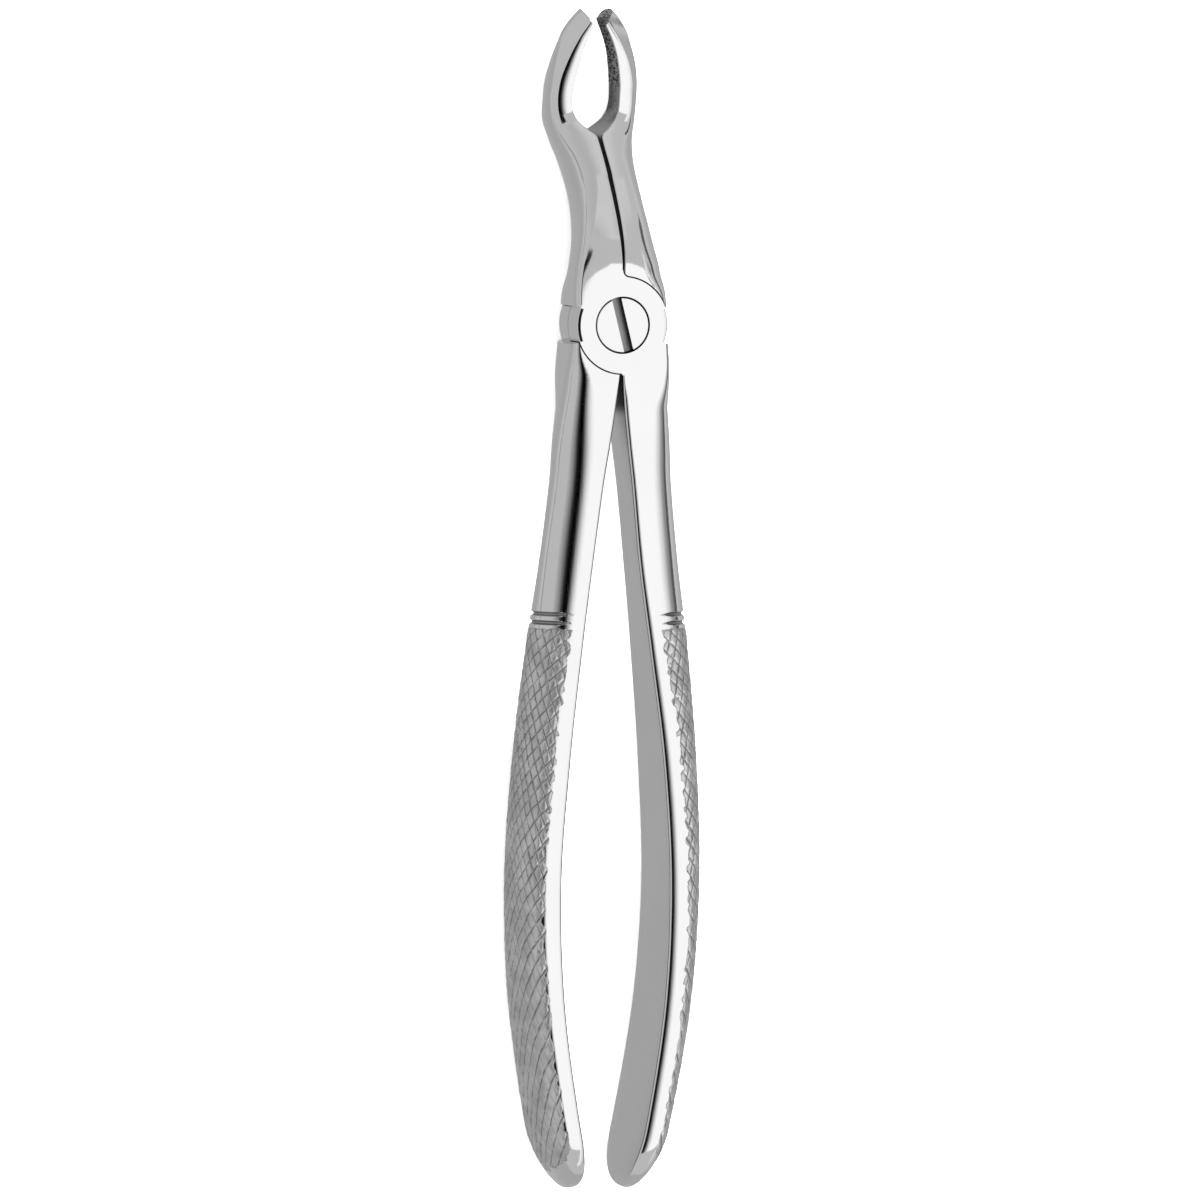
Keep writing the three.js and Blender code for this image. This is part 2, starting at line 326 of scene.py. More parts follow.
def neck_ring(y, disc_in_front):
    """Right-hand neck or beak section. Returns x and z arrays, and None: it has no knurling."""
    _, outer, front, back = row_at(NECK_STATIONS, y)
    front, back = min(JOINT_HALF, front), min(-JOINT_HALF, back)
    inner = row_at(INNER_EDGE, y)[1]
    if y < GOUGE_START_Y:
        inner = max(SEAM_HALF_GAP, inner)
    front_fade, back_fade = section_fades(y, NECK_FADE, disc_in_front)
    fade = min(front_fade, back_fade)
    depth = (front - back) / 2
    own = float(row_at(FRONT_FULLNESS, y)[1])
    fullness = JOINT_FULLNESS + (own - JOINT_FULLNESS) * front_fade
    keep = 1 + fade * (support(outer - inner, depth, CAD_NECK_FULLNESS)
                       / support(outer - inner, depth, NECK_FULLNESS) - 1)
    rim_share = float(row_at(RIM_SHARE, y)[1])
    angles = outer_angles(rim_share, fullness)
    back_fullness = JOINT_FULLNESS + (NECK_FULLNESS - JOINT_FULLNESS) * back_fade
    fullness = np.where(angles > 0, fullness, back_fullness)
    across = np.abs(np.cos(angles)) ** (2 / fullness)
    along = np.sign(angles) * np.abs(np.sin(angles)) ** (2 / fullness)
    edge = NECK_EDGE
    bulge = 1 + FLAT_BULGE * (1 - fade)
    start = inner + edge
    x = start + (outer - start) * keep * across
    # the front follows the distance from the pivot, so the joint's flat face ends in an arc
    straight = float(smoothstep(*NECK_ROUND_Y, y))
    radial = np.hypot(FLAT_STRETCH * x, y) * (1 - straight) + y * straight
    front_here = np.array([min(JOINT_HALF, row_at(NECK_STATIONS, r)[2]) for r in radial])
    middle = np.where(along > 0, (front_here + back) / 2, (front + back) / 2)
    half_depth = np.where(along > 0, (front_here - back) / 2, depth)
    z = middle + half_depth * keep * bulge * along
    if fade < 1:
        z = np.clip(z, back, front_here)
    facet = float(smoothstep(FACET_START_Y, FACET_FULL_Y, y))
    z = z + np.where(along < 0, BACK_LIFT * facet * (1 - across) ** 2, 0)
    if facet > 0:
        crest = start + (outer - start) * keep * rim_share
        crown = z[0] - CREST_SLOPE * (x - start) ** 2 / (2 * (crest - start))
        z = np.where((angles > 0) & (x <= crest + TINY), z + facet * (crown - z), z)
        at_crest = np.interp(crest, x[:RIM_STEPS + 1], z[:RIM_STEPS + 1])
        reach = start + (outer - start) * keep - crest
        slope = min(FACET_SLOPE, FACET_REACH * (at_crest - middle[-1]) / reach)
        chamfer = at_crest - slope * (x - crest) + FACET_RUN_OUT * (1 - facet)
        z = np.where(angles > 0, np.minimum(z, chamfer), z)
    front_x, front_z = edge_arc(inner, z[0], edge, True)
    back_x, back_z = edge_arc(inner, z[-1], edge, False)
    gouge = GOUGE_DEPTH * float(smoothstep(GOUGE_START_Y, GOUGE_FULL_Y, y))
    t = np.linspace(-1, 1, INNER_STEPS + 2)[1:-1]
    inner_z = np.interp(t, [-1, 1], [back_z[-1], front_z[0]])
    inner_x = inner + gouge * (1 - t * t)
    return (np.concatenate([front_x, x, back_x, inner_x]),
            np.concatenate([front_z, z, back_z, inner_z]), None)


KNURL_SEED = 7
WAVES = 24
_random = np.random.default_rng(KNURL_SEED)
WAVE_TABLE = [(_random.normal(0, 1), _random.normal(0, 1), _random.uniform(0, 2 * math.pi))
              for _ in range(WAVES)]


def wander(across, down, scale):
    """Smooth noise from a sum of waves, about -1 to 1, with features of about scale millimetres."""
    total = sum(np.sin(2 * math.pi * (a * across + b * down) / scale + phase)
                for a, b, phase in WAVE_TABLE)
    return total / math.sqrt(WAVES / 2)


def groove_shape(phase, share):
    """0 on the tops and 1 on the floor of V grooves one phase unit apart; share is their width."""
    away = np.abs(phase - np.round(phase))
    return np.clip(1 - away / (share / 2), 0, 1)


def knurl_inside(arc, distance, angles):
    """Distance in millimetres inside the knurling's ragged outline; negative outside."""
    ragged = KNURL_RAGGED * wander(arc, distance, RAGGED_SCALE)
    front = (KNURL_EDGE_ANGLE - np.abs(angles)) * HANDLE_TURN_RADIUS + ragged
    top = distance - KNURL_START + TOP_RAGGED_SHARE * ragged
    lower = KNURL_END + KNURL_POINT * (1 - np.abs(angles) / KNURL_EDGE_ANGLE)
    return np.minimum(np.minimum(front, top), 0.5 * (lower - distance + ragged))


def knurl_lines(arc, distance):
    """Whole numbers where the two sets of knurling grooves run."""
    wobble = WOBBLE * wander(arc, distance, WOBBLE_SCALE)
    down = distance - KNURL_START
    rising = (arc / RISING_SPACING[0] - down / (RISING_SPACING[1] + RISING_STRETCH * down)
              + wobble)
    falling = arc / FALLING_SPACING[0] + down / FALLING_SPACING[1] + wobble
    return rising, falling


def knurl_relief(arc, distance, angles):
    """Height of the worn diamond knurling over the plain handle, in millimetres."""
    inside = smoothstep(0, KNURL_RISE, knurl_inside(arc, distance, angles))
    rising, falling = knurl_lines(arc, distance)
    worn = 1 - WORN_SHARE * smoothstep(*WORN_SPAN, distance - KNURL_START)
    first = groove_shape(rising, RISING_WIDTH)
    second = groove_shape(falling, FALLING_WIDTH) * worn
    strength = STRENGTH + STRENGTH_SPREAD * wander(arc, distance, STRENGTH_SCALE)
    cut = np.maximum(first, second) * strength
    grit = KNURL_GRIT * wander(arc, distance, GRIT_SCALE)
    return inside * (KNURL_PROUD - KNURL_DEPTH * cut + grit)


def turned_grooves(distance, angles):
    """Depth of the two grooves cut round the handle above the knurling, with pointed ends."""
    reach = np.clip((GROOVE_EDGE_ANGLE - np.abs(angles)) / GROOVE_POINT_ANGLE, 0, 1)
    total = np.zeros_like(angles)
    for station in GROOVE_STATIONS:
        away = abs(distance - station) / (GROOVE_HALF_WIDTH * np.maximum(reach, 1e-3))
        total += GROOVE_DEPTH * reach * np.clip(1 - away * away, 0, 1)
    return total


def handle_ring(distance, end, disc_in_front):
    """Right-hand handle section, shrunk by end near its end. Returns x, z and knurling arrays."""
    _, inner, outer, depth = row_at(HANDLE_STATIONS, distance)
    inner = max(SEAM_HALF_GAP, inner)
    depth = JOINT_HALF + (depth - JOINT_HALF) * float(smoothstep(*HANDLE_DEPTH_START, distance))
    width, lost = outer - inner, 1 - end
    inner += HANDLE_INNER_ROUNDING * width * lost * lost
    outer -= HANDLE_OUTER_ROUNDING * width * lost
    front_fade, back_fade = section_fades(distance, HANDLE_FADE, disc_in_front)
    fade = min(front_fade, back_fade)
    own = float(row_at(HANDLE_FULLNESS, distance)[1])
    fullness = JOINT_FULLNESS + (own - JOINT_FULLNESS) * front_fade
    reach = outer - inner
    keep = 1 + fade * (support(reach, depth, CAD_HANDLE_FULLNESS) / support(reach, depth, own) - 1)
    angles = outer_angles(HANDLE_RIM_SHARE, fullness)
    fullness = np.where(angles > 0, fullness, JOINT_FULLNESS + (own - JOINT_FULLNESS) * back_fade)
    across = np.abs(np.cos(angles)) ** (2 / fullness)
    along = np.sign(angles) * np.abs(np.sin(angles)) ** (2 / fullness)
    edge = EDGE_ROUNDING * fade + JOINT_EDGE_ROUNDING * (1 - fade)
    edge = min(edge, EDGE_SHARE_OF_DEPTH * depth * end)
    crown = float(row_at(CROWN_WIDTHS, distance)[1]) * end
    tilt = CROWN_ANGLE * float(smoothstep(*CROWN_START, distance))
    inner_end = inner + edge * (1 - math.sin(tilt))
    start = inner_end + crown
    x = start + (inner + reach * keep - start) * across
    bulge = 1 + FLAT_BULGE * (1 - fade)
    z = np.clip(depth * end * bulge * along, -depth * end, depth * end)
    step = np.hypot(np.diff(x, prepend=x[0]), np.diff(z, prepend=z[0]))
    arc = np.cumsum(step)
    inside = knurl_inside(arc, distance, angles)
    rising, falling = knurl_lines(arc, distance)
    relief = knurl_relief(arc, distance, angles) - turned_grooves(distance, angles)
    along_arc = arc + TINY * np.arange(len(arc))
    normal_x = np.gradient(-z, along_arc)
    normal_z = np.gradient(x, along_arc)
    x = x + relief * normal_x * end
    z = z + relief * normal_z * end
    share = np.linspace(1, 0, CROWN_STEPS + 1)[:-1]
    crown_x = inner_end + crown * (1 - share)
    crown_z = z[0] - 0.5 * crown * math.tan(tilt) * share ** 2
    front_x, front_z = edge_arc(inner, crown_z[0] + edge * (1 - math.cos(tilt)), edge, True, tilt)
    back_x, back_z = edge_arc(inner, z[-1], edge, False)
    t = np.linspace(-1, 1, INNER_STEPS + 2)[1:-1]
    inner_z = np.interp(t, [-1, 1], [back_z[-1], front_z[0]])
    before, after = EDGE_STEPS + CROWN_STEPS, EDGE_STEPS + INNER_STEPS
    lines = [np.pad(np.clip(values, -LINE_LIMIT, LINE_LIMIT), (before, after),
                    constant_values=NO_KNURL)
             for values in (rising, falling, inside)]
    return (np.concatenate([front_x, crown_x, x, back_x, np.full(INNER_STEPS, inner)]),
            np.concatenate([front_z, crown_z, z, back_z, inner_z]), lines)


def spaced(start, end, spacing):
    """Evenly spaced places from start to end, at most spacing apart."""
    count = max(2, int(math.ceil(abs(end - start) / spacing)) + 1)
    return list(np.linspace(start, end, count))


def rounded_end(start, finish, fraction, steps):
    """(place, share of the size) pairs over a rounded end that stops at fraction of the size."""
    last = math.acos(fraction)
    return [(start + (finish - start) * math.sin(a) / math.sin(last), math.cos(a))
            for a in np.linspace(0, last, steps + 1)[1:]]


# Material slots of the two halves, in the order of steels(), and of the screw; the slots of the
# joint's gaps, the deep turned grooves and the screw slot's walls carry painted shade
POLISHED, SATIN, KNURLED, PITTED, PAINTED_SEAM_SHADE, SHADED_GROOVE = range(6)
SLOT_WALL_SHADE, SLOT_FLOOR = 1, 2
KNURL_LAYERS = ("knurl_lines", "knurl_area")
NO_KNURL = -9.0
LINE_LIMIT = 99


def knurl_layers(mesh):
    """The two UV layers that carry the knurling's lines and outline; every mesh needs them."""
    return [mesh.uv_layers.get(name) or mesh.uv_layers.new(name=name) for name in KNURL_LAYERS]


def finished(builder, name):
    """A mesh from a bmesh whose normals are made to point outwards."""
    bmesh.ops.recalc_face_normals(builder, faces=builder.faces)
    mesh = bpy.data.meshes.new(name)
    builder.to_mesh(mesh)
    builder.free()
    return mesh


def loft(rings, places, mirror, slot_of):
    """A closed mesh through rings at their places along Y, in metres in the CAD frame."""
    count = len(rings[0][0])
    side = -1 if mirror else 1
    points = np.empty((len(rings), count, 3))
    lines = np.full((len(rings), count, 4), NO_KNURL)
    for r, ((x, z, knurl), y) in enumerate(zip(rings, places)):
        points[r, :, 0] = side * x
        points[r, :, 1] = y
        points[r, :, 2] = z + JOINT_PLANE
        if knurl:
            lines[r, :, :3] = np.transpose(knurl)
            lines[r, :, 3] = smoothstep(*WORN_SPAN, -y - KNURL_START)
    builder = bmesh.new()
    verts = [builder.verts.new(p) for p in points.reshape(-1, 3) * MM]
    for r in range(len(rings) - 1):
        for k in range(count):
            a, b = r * count + k, r * count + (k + 1) % count
            face = builder.faces.new((verts[a], verts[b], verts[b + count], verts[a + count]))
            face.material_index = slot_of(k, places[r])
    builder.faces.new(verts[:count])
    builder.faces.new(verts[-count:])
    mesh = finished(builder, "loft")
    corners = np.empty(len(mesh.loops), dtype=int)
    mesh.loops.foreach_get("vertex_index", corners)
    at_corners = lines.reshape(-1, 4)[corners]
    for k, layer in enumerate(knurl_layers(mesh)):
        layer.data.foreach_set("uv", at_corners[:, 2 * k:2 * k + 2].ravel())
    return mesh


# First and last ring and the largest spacing, finest at the grooves and the knurling
NECK_SPANS = [(0.5, 8, 0.75), (8.4, 16, 0.35), (16.4, BLANK_END_Y, 0.4)]
HANDLE_SPANS = [
    (0.5, 16, 0.8),
    (16.7, 42.6, 0.7),
    (42.9, 46, 0.09),
    (46.25, HANDLE_END_START, 0.25),
]
# Places in a ring, counted from the front inner edge: the outer side between the flat front and
# back, where it can be knurled, where a groove is deep enough to get painted shade, and the inner
# face
OUTER_FIRST = EDGE_STEPS + 3
OUTER_LAST = EDGE_STEPS + RIM_STEPS + OUTER_STEPS - 6
DEEP_GROOVE = OUTER_FIRST + 9
FIRST_INNER = EDGE_STEPS + RIM_STEPS + OUTER_STEPS + EDGE_STEPS + 1


def neck_slot(k, _):
    """Material slot of the neck's face number k in a ring."""
    # The inner faces take the pitted steel, darkened as painted shade
    return POLISHED if k < FIRST_INNER else PITTED


def handle_slot(k, y):
    """Material slot of the handle's face number k in the ring at y."""
    k -= CROWN_STEPS
    if k >= FIRST_INNER:
        return SATIN
    if not OUTER_FIRST < k < OUTER_LAST:
        return POLISHED
    # Faces deep in the turned grooves take darker steel as painted shade
    if any(abs(-y - station) < GROOVE_SHADOW for station in GROOVE_STATIONS):
        return SHADED_GROOVE if k > DEEP_GROOVE else POLISHED
    knurled = KNURL_START - 0.5 < -y < KNURL_END + KNURL_POINT
    return KNURLED if knurled else POLISHED


def neck_mesh(mirror, disc_in_front):
    """A neck with its beak, from inside the joint to beyond the tip."""
    places = [y for span in NECK_SPANS for y in spaced(*span)]
    return loft([neck_ring(y, disc_in_front) for y in places], places, mirror, neck_slot)


def handle_mesh(mirror, disc_in_front):
    """A handle, from inside the joint to its rounded end."""
    distances = [d for span in HANDLE_SPANS for d in spaced(*span)]
    rings = [handle_ring(d, 1, disc_in_front) for d in distances]
    for d, end in rounded_end(HANDLE_END_START, HANDLE_LENGTH, HANDLE_END_FRACTION,
                              HANDLE_END_STEPS):
        distances.append(d)
        rings.append(handle_ring(d, end, disc_in_front))
    return loft(rings, [-d for d in distances], mirror, handle_slot)


def prism(outline, low, high, walls=0, floor=0):
    """A closed prism over (x, y) points between two heights from the middle plane."""
    builder = bmesh.new()
    lower = [builder.verts.new((x * MM, y * MM, (low + JOINT_PLANE) * MM)) for x, y in outline]
    upper = [builder.verts.new((x * MM, y * MM, (high + JOINT_PLANE) * MM)) for x, y in outline]
    builder.faces.new(lower).material_index = floor
    builder.faces.new(upper).material_index = floor
    for k in range(len(outline)):
        after = (k + 1) % len(outline)
        face = builder.faces.new((lower[k], lower[after], upper[after], upper[k]))
        face.material_index = walls
    return finished(builder, "prism")


def circle(radius):
    """Points round a whole circle about the pivot."""
    turns = [2 * math.pi * k / ROUND_STEPS for k in range(ROUND_STEPS)]
    return [(radius * math.cos(a), radius * math.sin(a)) for a in turns]


def arc(centre, radius, start, end, steps):
    """Points along part of a circle, with both ends."""
    return [(centre[0] + radius * math.cos(a), centre[1] + radius * math.sin(a))
            for a in np.linspace(start, end, steps + 1)]


def corner_outline(radius, edge, size):
    """From inside the neck, over the fillet at its seam, and round the disc to the other seam."""
    cx = edge + size
    cy = math.sqrt((radius + size) ** 2 - cx * cx)
    touch = math.atan2(cy, cx)
    inside = edge - CORNER_INSET
    last = -math.acos(-inside / radius)
    return [(inside, cy), *arc((cx, cy), size, math.pi, math.pi + touch, FILLET_STEPS),
            *arc((0, 0), radius, touch, last, ROUND_STEPS // 2)[1:]]


def plan_outline(radius, edge, share, mirror):
    """A disc with fillets where it meets the neck's seam and the handle's inner edge."""
    upper = corner_outline(radius, edge, SEAM_FILLET * share)
    lower = [(-x, -y) for x, y in corner_outline(radius, edge, FOOT_FILLET * share)]
    return [(-x if mirror else x, y) for x, y in upper + lower]


def cut_or_join(base, operation, tool):
    """One exact boolean between two meshes; both are used up."""
    pieces = [bpy.data.objects.new("boolean", mesh) for mesh in (base, tool)]
    for made in pieces:
        bpy.context.collection.objects.link(made)
    modifier = pieces[0].modifiers.new(operation, "BOOLEAN")
    modifier.operation = operation
    modifier.solver = "EXACT"
    modifier.object = pieces[1]
    bpy.context.view_layer.update()
    depsgraph = bpy.context.evaluated_depsgraph_get()
    mesh = bpy.data.meshes.new_from_object(pieces[0].evaluated_get(depsgraph))
    for made in pieces:
        bpy.data.objects.remove(made)
    return mesh


def joined(base, steps, name, materials):
    """Runs (operation, mesh) steps on a base mesh, in order."""
    for mesh in [base, *(tool for _, tool in steps)]:
        knurl_layers(mesh)
        for material in materials:
            mesh.materials.append(material)
    for operation, tool in steps:
        base = cut_or_join(base, operation, tool)
    base.name = name
    return base


def relief_wedge(side):
    """What is cut away between the shoulders at one side of the joint."""
    turn = 0 if side > 0 else math.pi
    first, last = turn - SHOULDER_ANGLE, turn + SHOULDER_ANGLE
    outline = (arc((0, 0), WEDGE_START_RADIUS, first, last, WEDGE_STEPS)
               + arc((0, 0), BEYOND, last, first, 2))
    return prism(outline, -BEYOND, BEYOND)


def rim_rounding(side, layer):
    """What is cut from a disc's outer edge to round it where it shows between the shoulders."""
    size, slope = RIM_ROUNDING, RIM_BEVEL_ANGLE
    drop = RIM_BEVEL_WIDTH * math.tan(slope) - size * (1 - math.cos(slope))
    curve = arc((DISC_RADIUS - size, JOINT_HALF - size - drop), size, math.pi / 2 - slope, 0,
                RIM_PROFILE_STEPS)
    bevel_start = curve[0][0] - RIM_BEVEL_WIDTH
    beyond = DISC_RADIUS + RIM_CLEARANCE, JOINT_HALF + RIM_CLEARANCE
    bevel = [(bevel_start + RIM_BEVEL_WIDTH * k / RIM_PROFILE_STEPS,
              JOINT_HALF + (curve[0][1] - JOINT_HALF) * k / RIM_PROFILE_STEPS)
             for k in range(RIM_PROFILE_STEPS)]
    profile = [*bevel, *curve, (beyond[0], curve[-1][1]), beyond, (bevel_start, beyond[1])]
    builder = bmesh.new()
    rings = []
    for a in np.linspace(-RIM_ANGLE, RIM_ANGLE, RIM_RINGS):
        rings.append([builder.verts.new((side * r * math.cos(a) * MM, r * math.sin(a) * MM,
                                         (layer * z + JOINT_PLANE) * MM)) for r, z in profile])
    for before, after in zip(rings, rings[1:]):
        for k in range(len(profile)):
            j = (k + 1) % len(profile)
            builder.faces.new((before[k], before[j], after[j], after[k]))
    builder.faces.new(rings[0])
    builder.faces.new(rings[-1])
    return finished(builder, "rim")


def tip_cut(mirror):
    """The half space beyond the slanting plane across the beak's tip."""
    x0, y0, z0 = TIP_CORNER
    builder = bmesh.new()
    rows = []
    (x_low, x_high), (z_low, z_high) = TIP_CUT_X, TIP_CUT_Z
    for lift in (0, TIP_CUT_HEIGHT):
        row = []
        for x, z in ((x_low, z_low), (x_high, z_low), (x_high, z_high), (x_low, z_high)):
            y = y0 + TIP_RISE[0] * (x - x0) + TIP_RISE[1] * (z - z0) + lift
            point = (-x if mirror else x, y, z + JOINT_PLANE)
            row.append(builder.verts.new([value * MM for value in point]))
        rows.append(row)
    builder.faces.new(rows[0]).material_index = PITTED
    builder.faces.new(rows[1])
    for k in range(4):
        after = (k + 1) % 4
        builder.faces.new((rows[0][k], rows[0][after], rows[1][after], rows[1][k]))
    return finished(builder, "tip")


def two_shells(first, second):
    """Both closed meshes in one; they overlap until the first boolean step."""
    builder = bmesh.new()
    builder.from_mesh(first)
    builder.from_mesh(second)
    builder.to_mesh(first)
    builder.free()
    return first


def half_mesh(layer, name, materials):
    """One half: layer +1 has its disc in front, the left neck and the right handle."""
    front = layer > 0
    parting = layer * PARTING_GAP / 2
    face = layer * JOINT_HALF
    other = -layer * BEYOND
    disc = plan_outline(DISC_RADIUS, -SEAM_HALF_GAP, 1, not front)
    pocket = plan_outline(SHOULDER_RADIUS, SEAM_HALF_GAP, CORNER_SHARE, front)
    base = two_shells(neck_mesh(front, front), handle_mesh(not front, front))
    steps = [
        ("DIFFERENCE", relief_wedge(1)),
        ("DIFFERENCE", relief_wedge(-1)),
        # The pocket, the bore and the counterbore take near-black steel as painted shade in the
        # gaps
        ("DIFFERENCE", prism(pocket, min(parting, other), max(parting, other), PAINTED_SEAM_SHADE, PAINTED_SEAM_SHADE)),
        ("UNION", prism(disc, min(parting, face), max(parting, face))),
        ("DIFFERENCE", rim_rounding(1, layer)),
        ("DIFFERENCE", rim_rounding(-1, layer)),
        ("DIFFERENCE", tip_cut(front)),
        ("DIFFERENCE", prism(circle(SHANK_BORE_RADIUS), -BEYOND, BEYOND, PAINTED_SEAM_SHADE, PAINTED_SEAM_SHADE)),
    ]
    if front:
        floor = JOINT_HALF - COUNTERBORE_DEPTH
        # The counterbore's walls take the same near-black painted shade
        counterbore = prism(circle(COUNTERBORE_RADIUS), floor, BEYOND, PAINTED_SEAM_SHADE, PAINTED_SEAM_SHADE)
        steps.append(("DIFFERENCE", counterbore))
    return joined(base, steps, name, materials)


def turned(profile):
    """A closed turned mesh from (radius, height) pairs that start and end on the axis."""
    builder = bmesh.new()
    rings = []
    for radius, z in profile:
        around = circle(radius) if radius else [(0, 0)]
        height = (z + JOINT_PLANE) * MM
        rings.append([builder.verts.new((x * MM, y * MM, height)) for x, y in around])
    for low, high in zip(rings, rings[1:]):
        for k in range(ROUND_STEPS):
            after = (k + 1) % ROUND_STEPS
            corners = [low[k % len(low)], low[after % len(low)],
                       high[after % len(high)], high[k % len(high)]]
            builder.faces.new(dict.fromkeys(corners))
    return finished(builder, "turned")


def screw_mesh(materials):
    """The screw: a turned head, shank and tail, with a slot cut across the head."""
    profile = [
        (0, -JOINT_HALF), (SHANK_RADIUS - TAIL_CHAMFER, -JOINT_HALF),
        (SHANK_RADIUS, -JOINT_HALF + TAIL_CHAMFER), (SHANK_RADIUS, JOINT_HALF - HEAD_THICKNESS),
        (HEAD_RADIUS, JOINT_HALF - HEAD_THICKNESS), (HEAD_RADIUS, JOINT_HALF - HEAD_CHAMFER),
        (HEAD_RADIUS - HEAD_CHAMFER, JOINT_HALF), (0, JOINT_HALF),
    ]
    half_width, reach = SLOT_WIDTH / 2, BEYOND
    corners = [(-half_width, -reach), (half_width, -reach),
               (half_width, reach), (-half_width, reach)]
    c, s = math.cos(SLOT_TURN), math.sin(SLOT_TURN)
    slot = [(x * c - y * s, x * s + y * c) for x, y in corners]
    # The slot's walls take near-black steel as painted shade
    cut = ("DIFFERENCE", prism(slot, JOINT_HALF - SLOT_DEPTH, BEYOND, SLOT_WALL_SHADE, SLOT_FLOOR))
    return joined(turned(profile), [cut], "slotted_screw", materials)


def nodes_of(name):
    """A new material, its node tree and its Principled shader."""
    material = bpy.data.materials.new(name)
    material.use_nodes = True
    tree = material.node_tree
    return material, tree, tree.nodes["Principled BSDF"]


def link(tree, source, output, target, socket):
    tree.links.new(source.outputs[output], target.inputs[socket])


def node(tree, kind, **inputs):
    """A shader node with some of its inputs set, named with _ for spaces."""
    made = tree.nodes.new("ShaderNode" + kind)
    for name, value in inputs.items():
        made.inputs[name.replace("_", " ")].default_value = value
    return made


def maths(tree, operation, *values):
    """A maths node whose inputs are numbers or (node, output) pairs."""
    made = tree.nodes.new("ShaderNodeMath")
    made.operation = operation
    for k, value in enumerate(values):
        if isinstance(value, tuple):
            tree.links.new(value[0].outputs[value[1]], made.inputs[k])
        else:
            made.inputs[k].default_value = value
    return made, "Value"


def between(tree, value, low, high, to_low, to_high):
    """Smooth step of a (node, output) value from one range to another."""
    made = node(tree, "MapRange", From_Min=low, From_Max=high, To_Min=to_low, To_Max=to_high)
    made.interpolation_type = "SMOOTHSTEP"
    tree.links.new(value[0].outputs[value[1]], made.inputs["Value"])
    return made, "Result"


def mixed(tree, share, low, high):
    """low where share is 0 and high where it is 1; both numbers or (node, output) pairs."""
    difference = maths(tree, "SUBTRACT", high, low)
    return maths(tree, "MULTIPLY_ADD", share, difference, low)


def split_up(tree, source, output):
    """The X, Y and Z of a node's vector output, as outputs of one node."""
    parts = node(tree, "SeparateXYZ")
    link(tree, source, output, parts, "Vector")
    return parts


def noise(tree, place, scale, detail):
    """Noise over the object's own coordinates, with a scale per metre."""
    made = node(tree, "TexNoise", Scale=scale, Detail=detail)
    link(tree, place, "Object", made, "Vector")
    return made, "Fac"


# Where noise goes from low to high
NOISE_RANGE = (0.3, 0.7)
POLISHED_TONE = 0.6
POLISHED_ROUGHNESS = 0.09
CLOUDS_PER_METRE = 90
SCRATCH_DEPTH = 0.02
# Painted shade: the handles' inner faces darken towards the joint between these places along Y, to
# this share of their tone
PAINTED_SHADE_NEAR_JOINT = (-14.2, -12.0, 0.07)

# Knurled steel: a ragged outline, grooves along the knurling's lines, darkened as painted shade,
# and pits near the outline
KNURL_GRAIN_PER_METRE = 1100
KNURL_PATCHES_PER_METRE = 380
RAGGED_PAINT = 0.45
LINE_WANDER = 0.08
LINE_EDGE = (0.02, 0.12)
FAINT_LINE = 0.35
KNURL_PITS_PER_METRE = 900
KNURL_PIT_EDGE = (0.1, 0.24)
KNURL_PIT_ZONE = (0.2, 2.5)
INNER_PITS = 0.12
# Inner and outer edge of the outline's dark rim, and how dark it is
DARK_RIM = (0.05, 0.3, 0.75)
KNURL_TONES = (0.43, 0.57)
# Tone of the knurling's marks: painted shade in the grooves, and the pits and the outline's rim
SHADE_AND_MARK_TONE = 0.2
KNURL_ROUGHNESS = (0.3, 0.46)
KNURL_GRIT_SHARE = 0.35
KNURL_BUMP = (0.55, 0.09)

# Inner faces of the necks and beaks, darkened as painted shade, and the pitted grip near the beaks'
# tips
PITS_START = 34.5
PITS_FULL = 36.5
PITS_PER_METRE = 2300
PIT_SCATTER = 0.55
PIT_EDGE = (0.3, 0.55)
PIT_TONE = 0.04
GRIP_TONE = 0.36
INNER_GRAIN_PER_METRE = 2600
INNER_SHADE_TONES = (0.2, 0.34)
INNER_ROUGHNESS = (0.28, 0.42)
INNER_GRIT_SHARE = 0.2
PIT_BUMP = (0.8, 0.15)


def set_to(tree, source, shader, socket):
    """Feeds a (node, output) pair to the shader's socket."""
    tree.links.new(source[0].outputs[source[1]], shader.inputs[socket])


def bumped(tree, shader, height, bump):
    """Bump from a height between 0 and 1; bump is its (strength, depth in millimetres)."""
    relief = node(tree, "Bump", Strength=bump[0], Distance=bump[1] * MM)
    set_to(tree, height, relief, "Height")
    link(tree, relief, "Normal", shader, "Normal")


